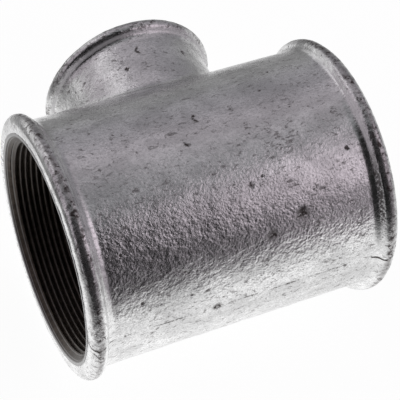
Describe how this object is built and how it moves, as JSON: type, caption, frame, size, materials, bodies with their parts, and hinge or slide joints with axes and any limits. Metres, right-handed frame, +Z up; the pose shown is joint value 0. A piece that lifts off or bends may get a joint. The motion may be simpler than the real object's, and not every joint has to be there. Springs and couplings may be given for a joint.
{
  "type": "reducing pipe tee",
  "caption": "Hollow cast pipe tee with a straight run, a narrower side branch and rounded bands round its threaded mouths.",
  "frame": {"origin": "centre of the footprint of the tee's box, at the height of the ground that it lies on", "axes": "+X along the run to its right end, +Z up, +Y towards the side branch, which points 14.4 degrees below level because its narrower band rests on the ground"},
  "size_m": [0.128, 0.1332, 0.1076],
  "materials": {
    "galvanized_iron": "hot-dip zinc over rough casting, dull grey with a slight sheen; mouths and threads tapped bare after dipping and oiled"
  },
  "bodies": {
    "root": {"tee_body": "galvanized_iron"}
  },
  "joints": []
}
